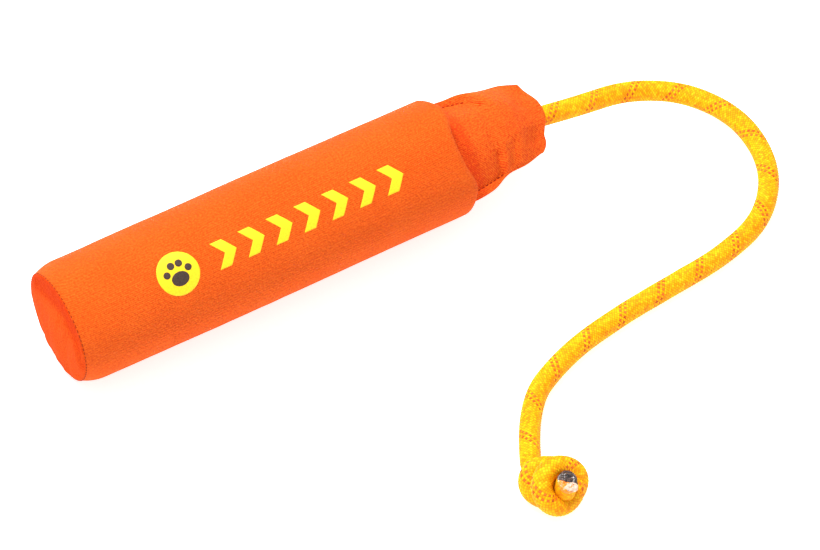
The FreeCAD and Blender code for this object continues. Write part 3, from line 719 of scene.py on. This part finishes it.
M = 216
seam_phi = math.radians(145.0)
phi = seam_phi + 2 * np.pi * np.arange(M) / M
phi_w = seam_phi + 2 * np.pi * np.arange(M + 1) / M
rows, us = [], []
f = np.concatenate([np.linspace(0, 0.055, 22)[:-1] ** 1.0, np.linspace(0.055, 1.0, 190)])
rc = 3.7
for q in f:
    x = SEAM + q * (rim_x(phi) - rc - SEAM)
    rows.append(on_roll(x, phi))
    us.append(float(SEAM + q * (79.0 - rc - SEAM)))
# shoulder: the cloth turns over the foam's edge and runs in under the hood
xr = rim_x(phi)
r_edge = roll_radius(xr - rc, phi)
for beta in np.radians([9, 18, 27, 36, 46, 56, 66, 76, 86, 96]):
    x = xr - rc + rc * math.sin(beta)
    r = r_edge - rc + rc * math.cos(beta)
    rows.append(press(np.stack([x, r * np.sin(phi), AZ + r * np.cos(phi)], -1)))
    us.append(79.0 - rc + rc * beta)
last_r = r_edge - rc + rc * math.cos(math.radians(96))
last_x = xr - rc + rc * math.sin(math.radians(96))
for k in (0.8, 1.7):
    r = last_r - k
    rows.append(np.stack([last_x - 0.15 * k, r * np.sin(phi), AZ + r * np.cos(phi)], -1))
    us.append(us[-1] + 0.9)
outer = np.array(rows)
n_out = len(outer)
# inner face of the cloth, 0.8 mm in, so that the cover is a closed shell
axis = np.stack([outer[..., 0], np.zeros_like(outer[..., 0]), np.full_like(outer[..., 0], AZ)], -1)
T1 = np.gradient(outer, axis=0)
T2 = np.gradient(np.concatenate([outer[:, -1:], outer, outer[:, :1]], 1), axis=1)[:, 1:-1]
nor = unit(np.cross(T1, T2))
sign = np.sign(np.einsum("ijk,ijk->ij", nor, outer - axis).mean())
inner = outer - nor * sign * 0.8
shell = np.concatenate([outer, inner[::-1]])
up_ = np.array(us + us[::-1])
pm = prm3(up_[:, None], (phi_w * R)[None, :])
b_ = Build()
ring_n = len(shell)
F, C = grid_faces(ring_n, M, True, pm)
# close the seam end between the outer and inner faces
j = np.arange(M)
jn = (j + 1) % M
o = (ring_n - 1) * M
F2 = np.stack([o + j, o + jn, jn, j], -1)
C2 = np.stack([pm[-1, j], pm[-1, j + 1], pm[0, j + 1], pm[0, j]], 1)
b_.add(shell.reshape(-1, 3), [F, F2], [C, C2])
roll = ride(b_.make("roll_cover", m_cover), BODY, "cover_body_panel", slot="cover_cloth")

# ------------------------------------------------------------------ closed-end panel
rs = roll_radius(np.full(M, SEAM), phi)
rho = np.concatenate([np.linspace(0.0, 0.80, 44)[1:], np.linspace(0.80, 1.0, 30)[1:]])


def cap_point(q, ph, rseam, inside=False):
    """q runs from the panel's centre, 0, to its seam, 1."""
    a = rseam * np.sin(ph) * q
    c = rseam * np.cos(ph) * q
    dome = 0.05 + 3.0 * (1 - q ** 2.2) ** 0.9 - 1.9 * np.exp(-((c - 15.5) / 7.0) ** 2) * sm(1.0, 0.8, q)
    # soft creases, pulled down the panel
    edge = sm(1.0, 0.93, q)
    w1 = noise(a / 5.2 + 20, c / 17.0 + 10, 21) * 0.55 + noise(a / 2.6 + 3, c / 11.0 + 30, 22) * 0.22
    gather = noise(ph * 0 + 5.5, ph / (2 * np.pi) * 37, 23, 37) * 0.45 * np.exp(-((1 - q) / 0.13))
    dome = dome + w1 * edge * 1.15
    dent = -0.9 * np.exp(-(((a + 13.0) * 0.8 + (c - 5) * 0.25) / 3.2) ** 2) * sm(1.0, 0.8, q)
    dome = np.maximum(dome + dent, 0.02) + gather * sm(1.0, 0.985, q)
    bulge = 0.15 * np.exp(-((q - 0.965) / 0.03) ** 2)
    rr = q + bulge / 28.0
    x = SEAM - dome - (-0.02)
    P = np.stack([x, a / np.maximum(q, 1e-9) * rr, AZ + c / np.maximum(q, 1e-9) * rr], -1)
    if inside:
        P[..., 0] += 0.8
    return press(P)


top = cap_point(rho[:, None], phi[None, :], rs[None, :] - 0.05)
bot = cap_point(rho[:, None], phi[None, :], rs[None, :] - 0.75, True)
ca, cc = rho[:, None] * 27 * np.sin(phi_w)[None, :], rho[:, None] * 27 * np.cos(phi_w)[None, :]
# painted shade: a darker band on the panel's upper side next to the seam, where the cloth sinks inside the roll's fold;
# it goes into the third surf value
ck = sm(15.5, 9.5, np.sqrt(np.maximum(27.0 ** 2 - ca ** 2, 0)) - cc + 2.2 * noise(ca / 6.0 + 8, cc / 14.0 + 8, 61)) * (1 - (ca / 27.0) ** 4)
pm = prm3(ca, cc, 0.9 * ck)
ct = np.array([top[0, :, 0].mean(), 0, AZ])
b_ = Build()
disc_slab(b_, top, bot, pm, ct, ct + [0.8, 0, 0], (0, 0, 0))
cap = ride(b_.make("closed_end_panel", m_cap), BODY, "end_cap_panel", slot="cover_cloth")

# ------------------------------------------------------------------ throat panel behind the hood
qs = np.linspace(0, 1, 26)[:, None]
r_in = 11.6
r0 = (last_r - 0.2)[None, :]
x0 = (last_x - 0.25)[None, :]
rr = r_in + (r0 - r_in) * qs
xx = 77.9 + (x0 - 77.9) * sm(0.25, 1.0, qs) + 0.35 * noise(rr / 4.0, phi[None, :] / (2 * np.pi) * 20, 24, 20) * sm(0, 0.3, qs) * sm(1, 0.8, qs)
top = np.stack([xx, rr * np.sin(phi), AZ + rr * np.cos(phi)], -1)
bot = top - np.array([0.8, 0, 0])
P = np.concatenate([top, bot[::-1]])
pmr = np.concatenate([prm3(rr * np.sin(phi_w[None, :]) if False else (r_in + (float(r0.mean()) - r_in) * qs) * np.sin(phi_w)[None, :],
                           (r_in + (float(r0.mean()) - r_in) * qs) * np.cos(phi_w)[None, :])] * 1)
pmr = np.concatenate([pmr, pmr[::-1]])
F, C = grid_faces(len(P), M, True, pmr)
o = (len(P) - 1) * M
F2 = np.stack([o + j, o + jn, jn, j], -1)
C2 = np.stack([pmr[-1, j], pmr[-1, j + 1], pmr[0, j + 1], pmr[0, j]], 1)
b_ = Build()
b_.add(P.reshape(-1, 3), [F, F2], [C, C2])
throat = ride(b_.make("throat_panel", m_cap), BODY, "shoulder_panel", slot="cover_cloth")

# ------------------------------------------------------------------ the hood
HX0 = 77.3
HI = ([70, 80, 86, 93.8, 100.6, 109.3, 115.4, 120.8, 125.3], [25.2, 25.5, 25.4, 25.0, 23.8, 22.4, 20.9, 19.4, 18.2])
LO = ([70, 80, 84.3, 89.2, 94.8, 99.2, 103, 107.2, 111.9, 116.4, 120.3], [-25.4, -25.9, -25.7, -24.8, -23.4, -21.7, -20.4, -19.7, -19.5, -19.1, -18.2])
TIPW = [-18.2, -16.2, -13.4, -11.2, -8.7, -5.1, -0.5, 4.0, 8.7, 13.4, 18.2]
TIPX = [121.2, 123.2, 124.7, 125.0, 126.2, 128.1, 129.2, 129.3, 128.6, 127.2, 126.0]
HH = ([70, 80, 88, 96, 101, 107, 113, 119, 124, 128.6], [15.0, 15.0, 14.7, 14.2, 13.5, 13.7, 12.5, 10.3, 8.2, 6.6])
# folds on the upper ply: start, end (x, w), width, depth; a positive depth is a hollow
FOLDS = [
    (97.2, -21.0, 98.8, -12.0, 1.5, 1.7), (98.8, -12.0, 97.2, -4.5, 1.9, 0.9), (100.9, -20.5, 102.6, -9.0, 1.4, -0.9),
    (104.3, -20.0, 108.2, -10.5, 2.4, 1.5), (98.4, 20.5, 101.6, 13.0, 1.5, 1.3), (101.6, 13.0, 101.2, 4.0, 2.1, 0.8),
    (104.5, 17.0, 107.0, 9.0, 2.2, -0.6), (88.0, -10.0, 92.0, 6.0, 3.0, 0.5), (119.0, 6.0, 127.0, 3.0, 2.0, 0.6),
    (113.0, -13.0, 121.0, -11.5, 1.6, 0.3), (112.0, -7.0, 121.0, -5.0, 2.2, -0.5), (84.0, -20.0, 93.0, -14.0, 2.5, -0.5),
]
FOLDS_LOW = [
    (97.0, -20.0, 101.0, -8.0, 1.8, 1.6), (99.0, 21.0, 103.0, 9.0, 1.7, 1.5), (106.0, -18.0, 109.0, -8.0, 2.2, 1.1),
    (108.0, 18.0, 112.0, 6.0, 2.4, 1.0), (86.0, -8.0, 94.0, 10.0, 3.0, 0.8), (116.0, 8.0, 126.0, 5.0, 2.0, 0.7),
]


def fold_depth(x, w, folds):
    d = np.zeros_like(x)
    for x0_, w0_, x1_, w1_, wd, dp in folds:
        ax, aw = x1_ - x0_, w1_ - w0_
        L2 = ax * ax + aw * aw
        tt = np.clip(((x - x0_) * ax + (w - w0_) * aw) / L2, 0, 1)
        dist = np.hypot(x - x0_ - tt * ax, w - w0_ - tt * aw)
        d += dp * np.exp(-(dist / wd) ** 2)
    return d


def stitch_line(x, side):
    return 22.0 - (x - 87.4) * 0.195 if side > 0 else -21.8 + (x - 85.9) * 0.152


def hood_surface(s, th, inside=0.0):
    """s runs from the shoulder, 0, to the mouth, 1; th goes round: 0..pi over, pi..2pi under."""
    t = np.cos(th)
    up = np.sin(th) >= 0
    hi1, lo1 = 18.2, -18.2
    wt = lo1 + (hi1 - lo1) * (t + 1) / 2
    xt = curve(TIPW, TIPX, wt)
    x = HX0 + (xt - HX0) * s
    hi = curve(*HI, HX0 + (126.0 - HX0) * s)
    lo = curve(*LO, HX0 + (121.2 - HX0) * s)
    w = lo + (hi - lo) * (t + 1) / 2
    st_hi, st_lo = stitch_line(x, 1), stitch_line(x, -1)
    f_hi = (hi - st_hi) * sm(103.5, 98.0, x)
    f_lo = (st_lo - lo) * sm(102.0, 96.5, x)
    q = np.clip((w - lo - f_lo) / np.maximum(hi - lo - f_lo - f_hi, 1), 0, 1) * 2 - 1
    h = curve(*HH, x)
    lens = h * np.clip(1 - np.abs(q) ** 2.1, 0, 1) ** (0.98 - 0.24 * sm(96, 106, x))
    mouth = 0.8 + 5.45 * np.exp(-(np.abs(w) / 10.2) ** 2.6)
    k = sm(0.66, 0.985, s)
    lens = lens * (1 - k) + mouth * k
    edge_mm = np.minimum(hi - w, w - lo)
    flat = 0.85 * np.sqrt(np.clip(1 - (1 - np.clip(edge_mm / 0.85, 0, 1)) ** 2, 0, 1))
    n = (np.maximum(lens, 0) ** 3 + flat ** 3) ** (1 / 3)
    n = np.where(edge_mm < 0.85, np.minimum(n, flat + 0.4 * edge_mm), n)
    # the stitch line pulls both plies together
    for edge_w, sg in ((st_hi, 1), (st_lo, -1)):
        n = n - 0.35 * np.exp(-((w - edge_w) / 0.75) ** 2) * sm(99.5, 97.5, x) * sm(0, 1.2, edge_mm)
        pk = 0.5 + 0.5 * np.cos(2 * np.pi * (x - 81.4) / 2.35)
        n = n + 0.14 * pk * np.exp(-((w - edge_w + sg * 1.2) / 0.9) ** 2) * sm(99.5, 97.5, x)
    inner_w = sm(0.4, 3.0, edge_mm)
    du = fold_depth(x, w, FOLDS) - 0.42 * noise(x / 7.5 + 1, w / 7.5 + 30, 51) - 0.16 * noise(x / 3.2 + 9, w / 3.2 + 20, 52)
    dl = fold_depth(x, w, FOLDS_LOW) - 0.50 * noise(x / 7.0 + 40, w / 7.0 + 12, 53) - 0.18 * noise(x / 3.0 + 5, w / 3.0 + 50, 54)
    d = np.where(up, du, dl) * inner_w * (1 - 0.65 * sm(0.86, 1.0, s))
    n = np.maximum(n - d, np.where(edge_mm > 0.85, 0.5, 0.0))
    wave = 0.45 * np.sin(x / 3.1 + 1.0) * sm(80, 96, x) * sm(0.0, 1.0, np.abs(t)) * (np.abs(t) ** 8)
    if inside:
        n = np.maximum(n - inside, 0.12 * (1 - np.abs(t) ** 6) + 0.0)
        w = w * (1 - 0.55 / 22)
    n = np.where(up, n, -n * 0.97)
    P = (np.stack([x, 0 * x, 0 * x + AZ], -1) + (w + wave)[..., None] * WID + n[..., None] * NRM)
    return P, x, w


HM, HN = 208, 118
th = 2 * np.pi * np.arange(HM) / HM
th_w = 2 * np.pi * np.arange(HM + 1) / HM
# spread the points: more in the two sewn edges
spread = lambda a: a - 0.22 * np.sin(2 * a) / 2 * 1.0
ss = np.concatenate([np.linspace(0, 0.9, HN - 24), np.linspace(0.9, 1.0, 25)[1:]])[:, None]
Po, xo, wo = hood_surface(ss, spread(th)[None, :] + 0 * ss)
_, xw, ww = hood_surface(ss, spread(th_w)[None, :] + 0 * ss)
Pi, _, _ = hood_surface(ss, spread(th)[None, :] + 0 * ss, 0.95)
# roll the mouth's lip over, from the outer to the inner face
mid = (Po[-1] + Pi[-1]) / 2 + np.array([0.42, 0, 0])
P = np.concatenate([Po, mid[None], Pi[::-1]])
# painted shadow: the hood cloth just past the roll's rim is darkened through the third surf value
pmh = prm3(xw, ww, 0.62 * sm(89.5, 85.5, xw))
pmh = np.concatenate([pmh, pmh[-1:] + [0.5, 0, 0], pmh[::-1]])
F, C = grid_faces(len(P), HM, True, pmh)
o = (len(P) - 1) * HM
j2 = np.arange(HM)
jn2 = (j2 + 1) % HM
F2 = np.stack([o + j2, o + jn2, jn2, j2], -1)
C2 = np.stack([pmh[-1, j2], pmh[-1, j2 + 1], pmh[0, j2 + 1], pmh[0, j2]], 1)
b_ = Build()
b_.add(P.reshape(-1, 3), [F, F2], [C, C2])
hood = ride(b_.make("hood_cloth", m_hood), BODY, "hood_upper_panel", "hood_lower_panel", slot="cover_cloth")


# ------------------------------------------------------------------ thread
def stitch(build, a, b, nrm, rad=0.24, lift=0.16, sink=0.32, flat=0.8):
    """One lockstitch: a soft capsule that comes up out of the cloth and goes back in."""
    k = np.linspace(0, 1, 9)[:, None]
    P = a + (b - a) * k + nrm * (lift - (sink + lift) * (2 * k - 1) ** 4)
    T_, _, _ = frames_along(P, nrm)
    side = unit(np.cross(T_, nrm))
    up2 = np.cross(side, T_)
    m = 8
    an = 2 * np.pi * np.arange(m) / m
    rr_ = rad * np.sqrt(np.clip(1 - (2 * k - 1) ** 6, 0.15, 1))
    ring = P[:, None] + rr_[..., None] * (np.cos(an)[None, :, None] * side[:, None] + flat * np.sin(an)[None, :, None] * up2[:, None])
    L_ = float(np.linalg.norm(b - a))
    pm_ = prm3(np.arange(m + 1)[None, :] / m, k * L_)
    tube_mesh(build, ring, pm_, 0.02)


def threads(name, stitches, mat, node, **kw):
    b = Build()
    for a, c, nrm in stitches:
        stitch(b, np.asarray(a, float), np.asarray(c, float), np.asarray(nrm, float), **kw)
    return ride(b.make(name, mat), BODY, node, slot="thread")


row = []
count = 74
rs_f = lambda p: float(roll_radius(np.array([SEAM + 0.25]), np.array([p]))[0])
rnd = np.random.RandomState(3)
for i in range(count):
    a = 2 * math.pi * (i + 0.5) / count
    hw_ = 0.74 / 27.0 * (1 + 0.12 * rnd.uniform(-1, 1))
    pts_ = []
    for q in (a - hw_, a + hw_):
        rr_ = rs_f(q) + 0.02
        pts_.append(press(np.array([SEAM + 0.28, rr_ * math.sin(q), AZ + rr_ * math.cos(q)])))
    row.append((pts_[0], pts_[1], unit(np.array([-0.25, math.sin(a), math.cos(a)]))))
threads("closed_end_thread", row, m_thread, "end_cap_stitches", rad=0.22)

row = []
for i in range(58):
    x = SEAM + 8 + 3.2 * (i + 0.5)
    a, c = (on_roll(np.array([x + dx]), np.array([seam_phi]))[0] for dx in (-1.15, 1.15))
    row.append((a, c, np.array([0, math.sin(seam_phi), math.cos(seam_phi)])))
threads("cover_seam_thread", row, m_thread2, "cover_seam_stitches", rad=0.2)


def hood_point(x, w, upper=True):
    s_, t_ = (x - HX0) / (121.2 - HX0), 0.0
    for _ in range(14):
        hi, lo = float(curve(*HI, HX0 + (126.0 - HX0) * s_)), float(curve(*LO, HX0 + (121.2 - HX0) * s_))
        t_ = np.clip((w - lo) / (hi - lo) * 2 - 1, -0.999, 0.999)
        xt = float(curve(TIPW, TIPX, -18.2 + 36.4 * (t_ + 1) / 2))
        s_ = (x - HX0) / (xt - HX0)
    an = math.acos(t_) if upper else 2 * math.pi - math.acos(t_)
    P_, _, _ = hood_surface(np.array([[s_]]), np.array([[an]]))
    return P_[0, 0]


for name, node, table, sg in (("hood_back_thread", "hood_side_stitches_back", HI, 1), ("hood_front_thread", "hood_side_stitches_front", LO, -1)):
    row = []
    for i in range(8):
        x = 80.6 + 2.3 * (i + 0.5)
        w0_, w1_ = stitch_line(x - 0.78, sg), stitch_line(x + 0.78, sg)
        a, c = hood_point(x - 0.78, w0_), hood_point(x + 0.78, w1_)
        row.append((a, c, NRM))
    threads(name, row, m_thread, node, rad=0.27, lift=0.2)

row = []
for i in range(54):
    a = 2 * math.pi * i / 54
    if abs(math.cos(a)) > 0.93:
        continue
    p = hood_surface(np.array([[0.02]]), np.array([[a]]))[0][0, 0]
    q = hood_surface(np.array([[0.02]]), np.array([[a + 0.045]]))[0][0, 0]
    out = unit(np.array([0.0, p[1], p[2] - AZ]))
    d = unit(q - p)
    p = p + out * 0.55
    p[0] = 78.35
    row.append((p - d * 0.8, p + d * 0.8, np.array([1.0, 0, 0])))
threads("hood_base_thread", row, m_thread2, "hood_base_stitches", rad=0.22)

# ------------------------------------------------------------------ printed marks
PP = math.radians(-35.0)
b_ = Build()
for i in range(7):
    x0_ = -52.0 + 14.5 * i
    v = np.linspace(-1, 1, 33)[:, None]
    u = np.linspace(0, 1, 15)[None, :]
    x = x0_ + 5.0 * (1 - np.abs(v)) + 6.0 * u
    y = 6.5 * v + 0 * u
    top = on_roll(x, PP + y / R, 0.09)
    bot = on_roll(x, PP + y / R, -0.10)
    slab(b_, top, bot, prm3(x, y + PP * R))
ride(b_.make("print_arrow_row", m_yellow), BODY, "print_chevrons", slot="print_yellow")


def print_disc(build, cx, cy, ra, rb, hi_, lo_, n=14, m=64):
    psi, psw = 2 * np.pi * np.arange(m) / m, 2 * np.pi * np.arange(m + 1) / m
    q = np.linspace(1.0 / n, 1, n)[:, None]
    x, y = cx + ra * q * np.cos(psi)[None], cy + rb * q * np.sin(psi)[None]
    xw_, yw_ = cx + ra * q * np.cos(psw)[None], cy + rb * q * np.sin(psw)[None]
    c = [on_roll(np.array([cx]), np.array([PP + cy / R]), o_)[0] for o_ in (hi_, lo_)]
    disc_slab(build, on_roll(x, PP - y / R * -1, hi_), on_roll(x, PP - y / R * -1, lo_), prm3(xw_, yw_ + PP * R),
              c[0], c[1], (cx, cy + PP * R, 0))


b_ = Build()
print_disc(b_, -71.0, 0.0, 10.25, 10.25, 0.09, -0.10, 22, 96)
ride(b_.make("print_round_field", m_yellow), BODY, "print_badge_field", slot="print_yellow")
b_ = Build()
for dx, dy, ra, rb in ((0.0, -2.6, 4.3, 3.3), (-5.4, 1.0, 1.7, 1.65), (-2.0, 4.3, 1.75, 1.7), (2.0, 4.3, 1.75, 1.7), (5.4, 1.0, 1.7, 1.65)):
    print_disc(b_, -71.0 + dx, dy, ra, rb, 0.17, 0.02, 10, 40)
ride(b_.make("print_paw", m_dark), BODY, "print_badge_paw", slot="print_dark")

# ------------------------------------------------------------------ floor and light
fb = Tree("pale_floor")
mm = fb.obj_mm()
fn = fb.noise(mm, 0.02, 2.0)
fb.done(fb.ramp(fn, [(0.3, (0.84, 0.84, 0.84)), (0.7, (0.87, 0.87, 0.87))]), 0.9, spec=0.0)
fb.bsdf.inputs["Emission Color"].default_value = (1, 1, 1, 1)
fb.bsdf.inputs["Emission Strength"].default_value = 0.72
me = bpy.data.meshes.new("floor")
g_ = 24
xs_ = np.linspace(-4, 4, g_)
X_, Y_ = np.meshgrid(xs_, xs_, indexing="ij")
V_ = np.stack([X_, Y_, np.full_like(X_, -0.0003)], -1).reshape(-1, 3)
q_ = [(i * g_ + k, (i + 1) * g_ + k, (i + 1) * g_ + k + 1, i * g_ + k + 1) for i in range(g_ - 1) for k in range(g_ - 1)]
me.from_pydata(V_.tolist(), [], q_)
me.materials.append(fb.mat)
floor = bpy.data.objects.new("floor", me)
scene.collection.objects.link(floor)

world = bpy.data.worlds.new("studio")
scene.world = world
world.use_nodes = True
bg = world.node_tree.nodes["Background"]
bg.inputs["Color"].default_value = (1.0, 1.0, 1.0, 1.0)
bg.inputs["Strength"].default_value = 0.62


def area(name, loc, aim, size, power, color=(1, 1, 1)):
    li = bpy.data.lights.new(name, "AREA")
    li.shape = "DISK"
    li.size = size
    li.energy = power
    li.color = color
    ob = bpy.data.objects.new(name, li)
    ob.location = loc
    ob.rotation_euler = (Vector(aim) - Vector(loc)).to_track_quat("-Z", "Y").to_euler()
    scene.collection.objects.link(ob)
    return ob


area("key_light", (-0.20, 0.50, 1.95), (0.03, -0.04, 0.02), 1.0, 62.0)
area("side_light", (-1.7, -0.2, 0.7), (0.0, -0.02, 0.03), 0.9, 0.35)

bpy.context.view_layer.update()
